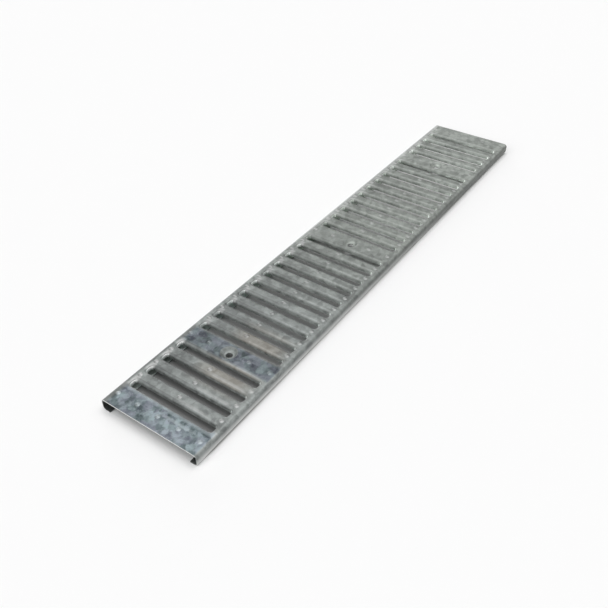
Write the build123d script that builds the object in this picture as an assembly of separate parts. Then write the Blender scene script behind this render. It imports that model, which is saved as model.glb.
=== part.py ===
from build123d import *
from math import atan2, degrees, sqrt
import os

# Driving sizes of the grate, in millimetres
length = 1000.0
width = 170.0
height = 20.0
sheet = 2.0

# The long edges are folded down and back in
fold_bend = 4.0
lip_flat = 7.0
side_land = 0.5

# The slots and the bars between them
slot_width = 12.0
slot_corner = 4.0
rim_bend = 3.0
rim_skirt = 2.5
bar_land = 9.25

# The wide bands that carry the locking holes
hole_spacing = 333.25
least_band_land = 24.0
least_end_land = 24.0
hole_diameter = 10.0
dish_top = 26.0
dish_floor = 15.0
dish_depth = 6.0

# The raised studs pressed up from below
stud_base = 7.0
stud_crown = 3.5
stud_rise = 1.2
stud_from_end = 20.5
stud_sides = 8

# Sizes that follow from the ones above
fold_radius = fold_bend + sheet
rim_radius = rim_bend + sheet
rim_depth = rim_radius + rim_skirt
top = height
under = height - sheet
slot_length = width - 2 * (fold_radius + side_land + rim_radius)
pitch = slot_width + 2 * rim_radius + bar_land
stud_row = slot_length / 2
bands = [-hole_spacing, 0.0, hole_spacing]


def slot_places():
    """Slot centres along the length: whole pitches are set between the bands, which take what is left."""
    rim_span = slot_width + 2 * rim_radius
    inner_count = int((hole_spacing - least_band_land - rim_span) / pitch) + 1
    half_band = (hole_spacing - (inner_count - 1) * pitch) / 2
    end_reach = length / 2 - hole_spacing - half_band
    outer_count = int((end_reach - least_end_land - rim_span / 2) / pitch) + 1
    places = []
    for band in bands[:-1]:
        places += [band + half_band + i * pitch for i in range(inner_count)]
    for side in (-1, 1):
        places += [side * (hole_spacing + half_band + i * pitch) for i in range(outer_count)]
    return sorted(places)


def folded_sheet():
    """The sheet with both long edges folded down and back in, cut to length."""
    outline = RectangleRounded(width, height, fold_radius)
    hollow = RectangleRounded(width - 2 * sheet, height - 2 * sheet, fold_bend)
    mouth = width - 2 * (fold_radius + lip_flat)
    section = outline - hollow - Pos(0, -height / 2) * Rectangle(mouth, 2 * (sheet + fold_bend))
    return extrude(Plane.YZ * Pos(0, height / 2) * section, length / 2, both=True)


def slot_prism(grow, high, low):
    """A slot's outline with eased corners, grown sideways, between two heights."""
    ease = (slot_corner + grow) * (2 - sqrt(2))
    outline = Rectangle(slot_width + 2 * grow, slot_length + 2 * grow)
    outline = chamfer(outline.vertices(), ease)
    return Pos(0, 0, low) * extrude(outline, high - low)


def rim_edges(shape, height_of_face):
    """The edges around every slot in the large flat face at a height."""
    faces = shape.faces().filter_by(Axis.Z)
    level = [face for face in faces if abs(face.center().Z - height_of_face) < 1e-6]
    largest = ShapeList(level).sort_by(SortBy.AREA)[-1]
    return [edge for wire in largest.inner_wires() for edge in wire.edges()]


def cone(low, low_radius, high, high_radius):
    return Pos(0, 0, (low + high) / 2) * Cone(low_radius, high_radius, high - low)


# The folded sheet with its slots, whose rims are rolled down all round
places = slot_places()
grate = folded_sheet()
grate += [Pos(x, 0, 0) * slot_prism(sheet, under, top - rim_depth) for x in places]
grate -= [Pos(x, 0, 0) * slot_prism(0, top, top - rim_depth) for x in places]
inner_ease = rim_bend * (2 - sqrt(2))
grate = chamfer(rim_edges(grate, under), inner_ease)
grate = fillet(rim_edges(grate, top), rim_radius)

# A dished round hole in the middle of each band, where the grate is locked down
slope = (dish_top - dish_floor) / 2 / dish_depth
draft = sheet * (sqrt(1 + slope ** 2) - slope)
foot = dish_floor / 2 + draft
dish_outside = cone(top - dish_depth - sheet, foot, under, foot + slope * dish_depth)
dish_inside = cone(top - dish_depth, dish_floor / 2, top, dish_top / 2)
dish_hole = Cylinder(hole_diameter / 2, 4 * height)
grate += [Pos(x, 0, 0) * dish_outside for x in bands]
grate -= [Pos(x, 0, 0) * (dish_inside + dish_hole) for x in bands]

# Studs: along the middle and the ends of every bar, a row of five over each end and four on each band
rows = [i * stud_row / 2 for i in (-2, -1, 0, 1, 2)]
spots = [(side * (length / 2 - stud_from_end), y) for side in (-1, 1) for y in rows]
spots += [(x, y) for x in bands for y in rows if y != 0]
gaps = zip(places[:-1], places[1:])
spots += [((a + b) / 2, y) for a, b in gaps if b - a < pitch + 1 for y in rows[::2]]
lean = degrees(atan2((stud_base - stud_crown) / 2, stud_rise))
stud = extrude(RegularPolygon(stud_base / 2, stud_sides), stud_rise, taper=lean)
grate += [Pos(x, y, top) * stud for x, y in spots]

os.makedirs("parts", exist_ok=True)
export_step(grate, "parts/grate.step")
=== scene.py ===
from math import cos, pi, radians, sin

import bmesh
import bpy
from mathutils import Matrix, Vector


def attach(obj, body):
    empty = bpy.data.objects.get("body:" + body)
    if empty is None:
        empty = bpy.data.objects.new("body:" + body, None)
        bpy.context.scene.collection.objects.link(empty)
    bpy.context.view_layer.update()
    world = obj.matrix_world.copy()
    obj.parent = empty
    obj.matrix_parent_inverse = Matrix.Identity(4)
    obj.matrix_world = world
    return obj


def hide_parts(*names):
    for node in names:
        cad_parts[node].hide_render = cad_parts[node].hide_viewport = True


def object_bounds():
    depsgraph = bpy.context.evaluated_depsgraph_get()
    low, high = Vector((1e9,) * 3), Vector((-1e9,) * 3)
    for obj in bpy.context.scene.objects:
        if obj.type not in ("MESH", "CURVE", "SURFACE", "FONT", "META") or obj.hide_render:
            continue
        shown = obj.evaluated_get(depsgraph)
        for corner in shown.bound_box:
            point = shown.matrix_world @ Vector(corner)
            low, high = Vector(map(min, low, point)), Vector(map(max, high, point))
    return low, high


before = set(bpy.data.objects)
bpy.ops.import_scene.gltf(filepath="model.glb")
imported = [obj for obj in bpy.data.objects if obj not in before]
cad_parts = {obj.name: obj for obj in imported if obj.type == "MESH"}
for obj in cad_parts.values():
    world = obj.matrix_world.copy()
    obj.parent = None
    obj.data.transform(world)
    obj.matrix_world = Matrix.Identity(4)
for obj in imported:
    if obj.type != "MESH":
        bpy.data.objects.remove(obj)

cad_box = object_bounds()

# The pressed sheet: 2 mm steel, punched with crosswise slots whose rims are rolled down, then folded
# down and back in along both long edges. One piece, so plate, rims, studs and folds are one skin.
length = 1.0
width = 0.17
height = 0.02
sheet = 0.002
sheared = 0.0003
grate_mesh = bmesh.new()


def loop_of(points):
    """New corners of the skin, in order."""
    return [grate_mesh.verts.new(point) for point in points]


def join_loops(first, second, closed=True):
    """A strip of four-sided faces between two loops of as many corners."""
    count = len(first)
    for i in range(count if closed else count - 1):
        j = (i + 1) % count
        grate_mesh.faces.new((first[i], first[j], second[j], second[i]))


def skin_through(loops, closed=True):
    for first, second in zip(loops[:-1], loops[1:]):
        join_loops(first, second, closed)


top_holes = []
under_holes = []

# Slots: the sheet is drawn down round each one to a collar, open below, with its cut edge left bare.
# The collar keeps the sheet's thickness, and its rolled upper bend carries the tread's rounded rim.
slot_half_width = 0.006
slot_half_length = 0.0735
slot_corner = 0.003
rim_radius = 0.005
rim_depth = 0.0075
corner_steps = 8
rim_steps = 7
slot_places = [side * (inner + i * 0.03125) for side in (-1, 1) for inner, count in ((0.026, 10), (0.35925, 4))
               for i in range(count)]


def slot_loop(place, grow, drop):
    """The rounded outline of a slot, this far outside its clear opening and this far below the top face."""
    radius = slot_corner + grow
    points = []
    for quarter, (side, end) in enumerate(((1, 1), (-1, 1), (-1, -1), (1, -1))):
        for step in range(corner_steps + 1):
            turn = (quarter + step / corner_steps) * pi / 2
            across = side * (slot_half_width - slot_corner) + radius * cos(turn)
            along = end * (slot_half_length - slot_corner) + radius * sin(turn)
            points.append((place + across, along, height - drop))
    return loop_of(points)


inner_bend = rim_radius - sheet
bends = [i / rim_steps * pi / 2 for i in range(rim_steps + 1)]
rim_profile = [(rim_radius * (1 - sin(t)), rim_radius * (1 - cos(t))) for t in bends]
rim_profile += [(0, rim_depth - sheared), (sheared, rim_depth), (sheet - sheared, rim_depth)]
rim_profile += [(sheet, rim_depth - sheared)]
rim_profile += [(rim_radius - inner_bend * sin(t), rim_radius - inner_bend * cos(t)) for t in reversed(bends)]
for place in sorted(slot_places):
    loops = [slot_loop(place, grow, drop) for grow, drop in rim_profile]
    skin_through(loops)
    top_holes.append(loops[0])
    under_holes.append(loops[-1])

# Studs: blunt points pressed up from below, three on a bar, four on a band and five over each end.
# Each leaves a hollow in the underside of the sheet.
stud_reach = 0.0043
stud_sides = 20
stud_crown = ((1.0, 0.0), (0.92, 0.05), (0.80, 0.24), (0.66, 0.52), (0.52, 0.78), (0.36, 0.99), (0.18, 1.14))
stud_hollow = ((1.0, 0.0), (0.72, 0.06), (0.60, 0.32), (0.48, 0.62), (0.32, 0.85), (0.14, 0.96))
stud_row = 0.0735


def round_loop(x, y, radius, level, sides):
    return loop_of([(x + radius * cos(2 * pi * i / sides), y + radius * sin(2 * pi * i / sides), level)
                    for i in range(sides)])


def round_form(x, y, profile, level, sides, reach, tip):
    """Loops that narrow from a round place's edge to its middle, closed by a small cap."""
    loops = [round_loop(x, y, reach * share, level + rise / 1000, sides) for share, rise in profile]
    skin_through(loops)
    middle = grate_mesh.verts.new((x, y, level + tip / 1000))
    for i in range(sides):
        grate_mesh.faces.new((loops[-1][i], loops[-1][(i + 1) % sides], middle))
    return loops[0]


bands = (-0.33325, 0.0, 0.33325)
rows = [i * stud_row / 2 for i in (-2, -1, 0, 1, 2)]
stud_spots = [(side * (length / 2 - 0.0205), y) for side in (-1, 1) for y in rows]
stud_spots += [(x, y) for x in bands for y in rows if y != 0]
for before, after in zip(sorted(slot_places)[:-1], sorted(slot_places)[1:]):
    if after - before < 0.032:
        stud_spots += [((before + after) / 2, y) for y in rows[::2]]
for x, y in stud_spots:
    top_holes.append(round_form(x, y, stud_crown, height, stud_sides, stud_reach, 1.2))
    under_holes.append(round_form(x, y, stud_hollow, height - sheet, stud_sides, stud_reach, 1.0))

# Locking holes: the middle of each band is dished, so that what holds the grate down lies below the tread.
# The sheet runs down to the dish's floor at one thickness and is punched through there.
dish_sides = 40
dish_profile = ((14.4, 0), (13.7, 0.1), (12.9, 0.5), (12.0, 1.3), (8.7, 4.9), (7.9, 5.6), (7.0, 5.95), (6.2, 6.0),
                (5.3, 6.0), (5.0, 6.3), (5.0, 7.7), (5.3, 8.0), (7.2, 8.0), (8.4, 7.7), (9.4, 7.0),
                (12.3, 3.9), (13.1, 3.1), (13.9, 2.4), (14.4, 2.0))
for x in bands:
    loops = [round_loop(x, 0, radius / 1000, height - drop / 1000, dish_sides) for radius, drop in dish_profile]
    skin_through(loops)
    top_holes.append(loops[0])
    under_holes.append(loops[-1])

# Long edges: folded down and back in on a 4 mm inside bend, with a lip that lies flat on the channel.
# The section is open at both ends, where the sheet was sheared to length.
fold_radius = 0.006
lip_reach = 0.013
fold_steps = 9


def fold_path(side, inset):
    """The fold's section from the plate's edge to the lip's, on the outer face or this far inside it."""
    radius = fold_radius - inset
    turns = [pi / 2 - i / fold_steps * pi / 2 for i in range(fold_steps + 1)]
    wall = width / 2 - fold_radius
    points = [(wall + radius * cos(t), height - fold_radius + radius * sin(t)) for t in turns]
    points += [(wall + radius * cos(t), fold_radius - radius * sin(t)) for t in reversed(turns)]
    points += [(width / 2 - lip_reach + sheared, inset)]
    return [(side * across, level) for across, level in points]


def between(first, second, share):
    return [(a[0] + (b[0] - a[0]) * share, a[1] + (b[1] - a[1]) * share) for a, b in zip(first, second)]


plate_corners = {}
for side in (-1, 1):
    outer = fold_path(side, 0)
    inner = fold_path(side, sheet)
    edge_share = sheared / sheet
    stations = []
    for end in (-1, 1):
        face = end * length / 2
        back = face - end * sheared
        rows_here = [(back, outer), (face, between(outer, inner, edge_share)),
                     (face, between(outer, inner, 1 - edge_share)), (back, inner)]
        stations.append([loop_of([(x, y, z) for y, z in path]) for x, path in rows_here])
    for near_row, far_row in ((stations[0][0], stations[1][0]), (stations[0][3], stations[1][3])):
        join_loops(near_row, far_row, closed=False)
    for station in stations:
        skin_through(station, closed=False)
    lip = side * (width / 2 - lip_reach)
    lip_rows = []
    for station, x in ((stations[0], -length / 2 + sheared), (stations[1], length / 2 - sheared)):
        lip_rows.append([station[0][-1]] + loop_of([(x, lip, sheared), (x, lip, sheet - sheared)]) + [station[3][-1]])
    join_loops(lip_rows[0], lip_rows[1], closed=False)
    for station, row in zip(stations, lip_rows):
        grate_mesh.faces.new((station[0][-1], station[1][-1], row[1]))
        grate_mesh.faces.new((station[1][-1], station[2][-1], row[2], row[1]))
        grate_mesh.faces.new((station[2][-1], station[3][-1], row[2]))
    plate_corners[side] = stations

# The flat of the plate between all of these, above and below, and the sheared edge at each end.
for level, holes in ((0, top_holes), (3, under_holes)):
    near_right, far_right = [plate_corners[-1][end][level][0] for end in (0, 1)]
    near_left, far_left = [plate_corners[1][end][level][0] for end in (0, 1)]
    edges = []
    for hole in [[near_right, far_right, far_left, near_left]] + holes:
        for first, second in zip(hole, hole[1:] + hole[:1]):
            edge = grate_mesh.edges.get((first, second))
            edges.append(edge if edge else grate_mesh.edges.new((first, second)))
    bmesh.ops.triangle_fill(grate_mesh, use_beauty=True, use_dissolve=False, edges=edges, normal=(0, 0, 1))
for end in (0, 1):
    right = [row[0] for row in plate_corners[-1][end]]
    left = [row[0] for row in plate_corners[1][end]]
    join_loops(right, left, closed=False)

bmesh.ops.recalc_face_normals(grate_mesh, faces=grate_mesh.faces)
grate_data = bpy.data.meshes.new("grate_sheet")
grate_mesh.to_mesh(grate_data)
grate_mesh.free()
grate_data.shade_smooth()
grate_data.set_sharp_from_angle(angle=radians(50))
grate = bpy.data.objects.new("grate_sheet", grate_data)
bpy.context.scene.collection.objects.link(grate)
weighting = grate.modifiers.new("flats lead the shading", "WEIGHTED_NORMAL")
weighting.keep_sharp = True
weighting.weight = 90


class Shade:
    """A socket of a material, on which sums and products add their own maths nodes."""

    def __init__(self, material, socket):
        self.material = material
        self.socket = socket

    def node(self, kind, settings=None, output=None, **sockets):
        """Adds a node, sets what it is, then its sockets by name or by number as n0, n1, and gives one output."""
        made = self.material.node_tree.nodes.new(kind)
        for name, value in (settings or {}).items():
            setattr(made, name, value)
        for name, value in sockets.items():
            numbered = name[0] == "n" and name[1:].isdigit()
            target = made.inputs[int(name[1:]) if numbered else name.replace("_", " ")]
            if isinstance(value, Shade):
                self.material.node_tree.links.new(value.socket, target)
            else:
                target.default_value = value
        result = made.outputs[output] if output else next(out for out in made.outputs if out.enabled)
        return Shade(self.material, result)

    def maths(self, operation, first, second=0.0, clamp=False):
        return self.node("ShaderNodeMath", {"operation": operation, "use_clamp": clamp}, n0=first, n1=second)

    def __add__(self, other):
        return self.maths("ADD", self, other)

    __radd__ = __add__

    def __mul__(self, other):
        return self.maths("MULTIPLY", self, other)

    __rmul__ = __mul__

    def __sub__(self, other):
        return self.maths("SUBTRACT", self, other)

    def __rsub__(self, other):
        return self.maths("SUBTRACT", other, self)

    def between(self, low, high):
        """0 below the low value, 1 above the high one, and straight between."""
        return self.node("ShaderNodeMapRange", {"clamp": True}, Value=self, From_Min=low, From_Max=high)

    def blend(self, first, second):
        """From the first colour to the second by this value."""
        return self.node("ShaderNodeMix", {"data_type": "RGBA"}, n0=self, n6=first, n7=second)


# Its finish: hot-dipped zinc. A spangle of crystals shows on every flat, coarse and bluish on the wide flats of the
# near third, finer and grey elsewhere. Studs and upper bends are painted brighter, partly rubbed zinc and partly
# painted highlight, and the bends that turn away carry painted shade; painted light and shade vary along the length.
zinc = bpy.data.materials.new("hot_dipped_zinc_with_painted_light")
zinc.use_nodes = True
shader = zinc.node_tree.nodes["Principled BSDF"]
paint = Shade(zinc, None)


def feed(name, value):
    zinc.node_tree.links.new(value.socket, shader.inputs[name])


where = paint.node("ShaderNodeTexCoord", output="Object")
facing = paint.node("ShaderNodeTexCoord", output="Normal")
along, across, level = [paint.node("ShaderNodeSeparateXYZ", output=axis, Vector=where) for axis in "XYZ"]
turned, sideways, upright = [paint.node("ShaderNodeSeparateXYZ", output=axis, Vector=facing) for axis in "XYZ"]
to_side = paint.maths("ABSOLUTE", across)
flat = level.between(0.0192, 0.0199)
right_half = (0 - across).between(-0.004, 0.012)
far_half = along.between(-0.25, 0.05)
third = (-0.335 - along).between(0.0, 0.01)

# The spangle, from crystals of two sizes, slow clouds and a fine grain.
drift = paint.node("ShaderNodeTexNoise", output="Color", Vector=where, Scale=60.0, Detail=3.0, Roughness=0.6)
bent = paint.node("ShaderNodeVectorMath", {"operation": "MULTIPLY_ADD"}, n0=drift, n1=(0.012, 0.012, 0.012), n2=where)
crystals = paint.node("ShaderNodeTexVoronoi", {"feature": "SMOOTH_F1"}, output="Color", Vector=bent, Scale=125.0,
                      Smoothness=0.6)
coarse, tint = [paint.node("ShaderNodeSeparateColor", output=part, Color=crystals) for part in ("Red", "Green")]
grains = paint.node("ShaderNodeTexVoronoi", output="Color", Vector=bent, Scale=330.0)
grains = paint.node("ShaderNodeSeparateColor", Color=grains)
clouds = paint.node("ShaderNodeTexNoise", Vector=where, Scale=24.0, Detail=4.0, Roughness=0.55).between(0.3, 0.7)
fine = paint.node("ShaderNodeTexNoise", Vector=where, Scale=900.0, Detail=4.0, Roughness=0.6)
spangle = (coarse * 0.5 + grains * 0.2 + clouds * 0.3).between(0.2, 0.8)
plain_grey = spangle.blend(far_half.blend((0.140, 0.152, 0.148, 1), (0.140, 0.152, 0.140, 1)),
                           far_half.blend((0.297, 0.320, 0.311, 1), (0.297, 0.320, 0.297, 1)))

# The bluish coat of the near end and the first band, and a faint brown film on the bars beside that band.
near_flat = (-0.455 - along).between(0.0, 0.006)
first_band = (0.019 - paint.maths("ABSOLUTE", along + 0.333)).between(0.0, 0.006)
bluish = paint.maths("MAXIMUM", near_flat, first_band) * flat * (1 - across.between(0.073, 0.077))
tint = tint.between(0.2, 0.8)
blue_grey = spangle.blend(tint.blend((0.046, 0.068, 0.073, 1), (0.052, 0.063, 0.085, 1)),
                          tint.blend((0.285, 0.352, 0.370, 1), (0.312, 0.345, 0.394, 1)))
film = (0.075 - paint.maths("ABSOLUTE", along + 0.333)).between(0.0, 0.02) * (1 - first_band)
film = film * (0.055 - paint.maths("ABSOLUTE", across + 0.025)).between(0.0, 0.03) * level.between(0.015, 0.018)
colour = bluish.blend((film * 0.35).blend(plain_grey, (0.274, 0.222, 0.170, 1)), blue_grey)

# Painted highlights, partly rubbed zinc on the studs and upper bends: the studs, the upper bends, the corners at
# the slots' left ends, the left edge and the edges of the near end and of the nearest bars.
studs = level.between(0.02004, 0.0203)
# Painted highlight on the upper bends, strongest on the left end bends near the middle and on the near end's rim.
bends = upright.between(0.55, 0.95) * (1 - upright.between(0.97, 1.0)) * level.between(0.0145, 0.0175)
left_bends = bends * across.between(0.06, 0.072) * along.between(-0.15, 0.05)
first_rim = along.between(-0.468, -0.464) * (-0.455 - along).between(0.0, 0.002) * level.between(0.0175, 0.019)
# A painted highlight along the near edges of the bars in the near third, on their right half.
past_slot = paint.maths("FLOORED_MODULO", along + 0.453, 0.03125)
streak = past_slot.between(0.0075, 0.0095) * (1 - past_slot.between(0.012, 0.014)) * third * right_half
streak = streak * (1 - to_side.between(0.06, 0.07)) * level.between(0.0192, 0.0198) * clouds.between(0.2, 0.6)
# Painted glints at the left ends of the slots, in the near third and from the first band to the middle.
past_slot = paint.maths("FLOORED_MODULO", along + 0.463, 0.03125)
near_corner = past_slot.between(0.006, 0.011) * (1 - past_slot.between(0.021, 0.025)) * third
near_corner = near_corner * across.between(0.0675, 0.070) * (1 - across.between(0.0745, 0.080))
near_corner = near_corner * along.between(-0.459, -0.456)
past_slot = paint.maths("FLOORED_MODULO", along + 0.31725, 0.03125)
next_corner = past_slot.between(0.009, 0.014) * (1 - past_slot.between(0.021, 0.025))
next_corner = next_corner * across.between(0.064, 0.067) * (1 - across.between(0.071, 0.075))
next_corner = next_corner * along.between(-0.314, -0.31) * (-0.03 - along).between(0.0, 0.01)
corner = (near_corner * 0.85 + next_corner * 0.7) * level.between(0.0145, 0.0165)
# A painted highlight along the left edge just before the middle.
left_edge = across.between(0.0745, 0.0765) * (1 - across.between(0.080, 0.082)) * along.between(-0.04, 0.0) * flat
rubbed_and_highlight = bends * 0.08 + left_bends * 0.45 + first_rim * 0.45 + streak * 0.4 + corner + left_edge * 0.45
# The studs: rubbed zinc with a painted highlight, brighter in the near third and at the left ends, dimmer in the far
# third.
stud_highlight = 0.45 + third * 0.17 + across.between(0.06, 0.07) * 0.2 - along.between(0.3, 0.32) * 0.2
rubbed_and_highlight = paint.maths("MAXIMUM", studs * stud_highlight, rubbed_and_highlight, clamp=True)
colour = rubbed_and_highlight.blend(colour, bluish.blend((0.415, 0.422, 0.418, 1), (0.400, 0.450, 0.470, 1)))

# Painted light and shade: brighter inside the folds and on the slots' far walls, painted shade on the right wall,
# on bends that turn away and at the near-left corner; flats and bends lighter or darker along the length.
# Painted light inside the folds, turned to painted shade in their openings at the near end.
inside = to_side.between(0.0705, 0.0715) * (1 - to_side.between(0.0832, 0.0836))
inside = inside * level.between(0.0012, 0.0018) * (1 - level.between(0.0176, 0.0181))
shade = 1 + inside * (2.5 - (-0.47 - along).between(0.0, 0.02) * 3.1)
# Painted shade on the right wall, growing from the near end to the middle and full beyond.
shade = shade * (1 - (0 - across - far_half * 0.0015).between(0.0785, 0.083) * along.between(-0.42, 0.1) * 0.48)
# Flats a little darker, the first band darker still, with painted light on the flats of the far band and far end.
far_flats = along.between(0.312, 0.318) * (1 - along.between(0.349, 0.353)) + along.between(0.462, 0.467)
shade = shade * (1 - flat * (0.17 - far_flats * 0.2)) * (1 - first_band * flat * 0.36)
# Painted light: all but the flats get lighter towards the far end.
shade = shade * (1 + along.between(-0.1, 0.5) * (1 - flat) * 0.27)
# Painted shade on the bends that face the near end: on their left half in the near half of the grate, lightly in the
# far half.
near_bend = bends * (0 - turned).between(0.0, 0.3)
left_bend = (1 - right_half) * (1 - along.between(-0.05, 0.1))
shade = shade * (1 - near_bend * paint.maths("MAXIMUM", left_bend * 0.42, along.between(-0.1, 0.3) * 0.16))
# Painted shade on the steep part of those bends, less in the far half.
steep_bend = (0 - turned).between(0.45, 0.7) * level.between(0.0155, 0.0165)
shade = shade * (1 - steep_bend * (0.28 - far_half * 0.12))
# Painted light on the slots' far walls, most on the right half and in the far half.
far_wall = (0 - turned).between(0.5, 0.9) * (1 - level.between(0.015, 0.0175)) * (1 - to_side.between(0.076, 0.078))
shade = shade * (1 + far_wall * (right_half * (0.35 + along.between(-0.35, 0.1) * 0.35) + far_half * 0.45))
# Painted shade on the bends that face the far end, most in the far third and from the first band to the middle.
far_bend = turned.between(0.02, 0.25) * level.between(0.016, 0.0185)
nearer_middle = along.between(-0.32, -0.29) * (1 - along.between(-0.1, 0.0))
shade = shade * (1 - far_bend * (along.between(0.2, 0.35) * 0.3 + nearer_middle * 0.30 + 0.13))
# Painted highlight on the flats at the bars' left ends, with a little painted shade just inside them, painted shade at
# the near-left corner of the near end (not on its studs) and on the left fold's bend over the near third.
left_end = across.between(0.062, 0.067) - across.between(0.038, 0.052) * (1 - across.between(0.058, 0.064))
near_left = across.between(0.0695, 0.0725) * (1 - across.between(0.078, 0.081)) * (-0.458 - along).between(0.0, 0.004)
near_fold = across.between(0.077, 0.080) * (-0.33 - along).between(0.0, 0.05)
shade = shade * (1 + left_end * flat * 0.12) * (1 - near_left * (1 - studs) * 0.36) * (1 - near_fold * 0.32)
colour = paint.node("ShaderNodeVectorMath", {"operation": "SCALE"}, Vector=colour, Scale=shade)

# Painted reflection of the pale floor on the foot of the right wall, over its nearer part, and on the cut edge of the
# near end.
foot_reflection = (0 - across).between(0.0775, 0.0785) * (0 - sideways).between(0.0, 0.15) * (1 - level.between(0.002, 0.014))
foot_reflection = foot_reflection * (0.25 - along).between(0.0, 0.4)
cut_edge_reflection = (-0.4985 - along).between(0.0, 0.0003) * (0 - turned).between(0.5, 0.9) * level.between(0.0175, 0.018)
colour = paint.maths("MAXIMUM", foot_reflection, cut_edge_reflection * 0.9).blend(colour, (0.80, 0.81, 0.80, 1))
feed("Base Color", colour)
feed("Roughness", 0.40 + spangle * 0.14 + fine * 0.06 - rubbed_and_highlight * 0.15)
shader.inputs["Metallic"].default_value = 0.45
feed("Normal", paint.node("ShaderNodeBump", Strength=0.35, Distance=0.0004, Height=spangle * 0.6 + fine * 0.4))

grate_data.materials.append(zinc)
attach(grate, "root")
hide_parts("grate")

# The floor that it lies on, plain and pale, with painted shade below the grate: greyer there, most of all near the
# near end, so that the slots look as deep as they do over a channel.
floor_half = 12.0
floor_data = bpy.data.meshes.new("floor")
floor_data.from_pydata([(x, y, 0) for x, y in ((-1, -1), (1, -1), (1, 1), (-1, 1))], [], [(0, 1, 2, 3)])
floor_data.transform(Matrix.Scale(floor_half, 4))
floor = bpy.data.objects.new("floor", floor_data)
floor.location.z = cad_box[0][2] - 0.0002
bpy.context.scene.collection.objects.link(floor)
paper = bpy.data.materials.new("pale_paper_with_painted_shade")
paper.use_nodes = True
spot = Shade(paper, None).node("ShaderNodeTexCoord", output="Object")
reach, aside = [spot.node("ShaderNodeSeparateXYZ", output=axis, Vector=spot) for axis in "XY"]
# Painted shade: the grey under the grate, darkest towards the near end.
below = reach.between(-0.40, -0.28).blend((0.33, 0.33, 0.33, 1), (0.68, 0.68, 0.68, 1))
below = reach.between(-0.05, 0.1).blend(below, (0.88, 0.88, 0.88, 1))
under = (0.086 - aside.maths("ABSOLUTE", aside)).between(0.0, 0.004)
under = under * reach.between(-0.485, -0.47) * (0.497 - reach).between(0.0, 0.01)
paper.node_tree.links.new(under.blend((0.905, 0.905, 0.905, 1), below).socket,
                          paper.node_tree.nodes["Principled BSDF"].inputs["Base Color"])
paper.node_tree.nodes["Principled BSDF"].inputs["Roughness"].default_value = 1.0
paper.node_tree.nodes["Principled BSDF"].inputs["Specular IOR Level"].default_value = 0.0
floor_data.materials.append(paper)

# Soft studio light: one very broad lamp overhead, three weaker ones round the grate, and a weak dome that is
# seen as white behind it and in the metal.
dome_level = 0.22
world = bpy.data.worlds.new("studio")
bpy.context.scene.world = world
world.use_nodes = True
dome = world.node_tree.nodes["Background"]
dome.inputs["Color"].default_value = (1, 1, 1, 1)
seen, mirrored, through = [Shade(world, None).node("ShaderNodeLightPath", output=kind)
                           for kind in ("Is Camera Ray", "Is Glossy Ray", "Is Transmission Ray")]
shown = seen.maths("MAXIMUM", seen, mirrored.maths("MAXIMUM", mirrored, through))
world.node_tree.links.new((dome_level + shown * (1 - dome_level)).socket, dome.inputs["Strength"])


def lamp(name, power, azimuth, elevation, softness):
    """A broad distant lamp at an azimuth from +X towards +Y and an elevation, in degrees."""
    light = bpy.data.lights.new(name, "SUN")
    light.energy = power
    light.angle = radians(softness)
    made = bpy.data.objects.new(name, light)
    bpy.context.scene.collection.objects.link(made)
    towards = Vector((cos(radians(elevation)) * cos(radians(azimuth)),
                      cos(radians(elevation)) * sin(radians(azimuth)), sin(radians(elevation))))
    made.rotation_euler = towards.to_track_quat("Z", "Y").to_euler()
    return made


lamp("overhead_lamp", 1.85, 0, 90, 60)
lamp("near_lamp", 1.0, 160, 32, 40)
lamp("right_lamp", 0.3, -30, 55, 36)
lamp("far_lamp", 0.35, 48, 12, 24)

# The camera, where the photograph was taken from.
camera_data = bpy.data.cameras.new("camera")
camera_data.lens = 40.83
camera_data.sensor_width = 36.0
camera_data.clip_start = 0.01
camera = bpy.data.objects.new("camera", camera_data)
bpy.context.scene.collection.objects.link(camera)
heading, dip, roll = radians(34.83), radians(40.17), radians(-0.19)
ahead = Vector((cos(dip) * cos(heading), cos(dip) * sin(heading), -sin(dip)))
camera.rotation_mode = "QUATERNION"
camera.rotation_quaternion = ahead.to_track_quat("-Z", "Y") @ Matrix.Rotation(roll, 3, "Z").to_quaternion()
camera.location = (-0.8585, -0.4977, 0.7147)
bpy.context.scene.camera = camera

bpy.context.scene.view_settings.view_transform = "Standard"
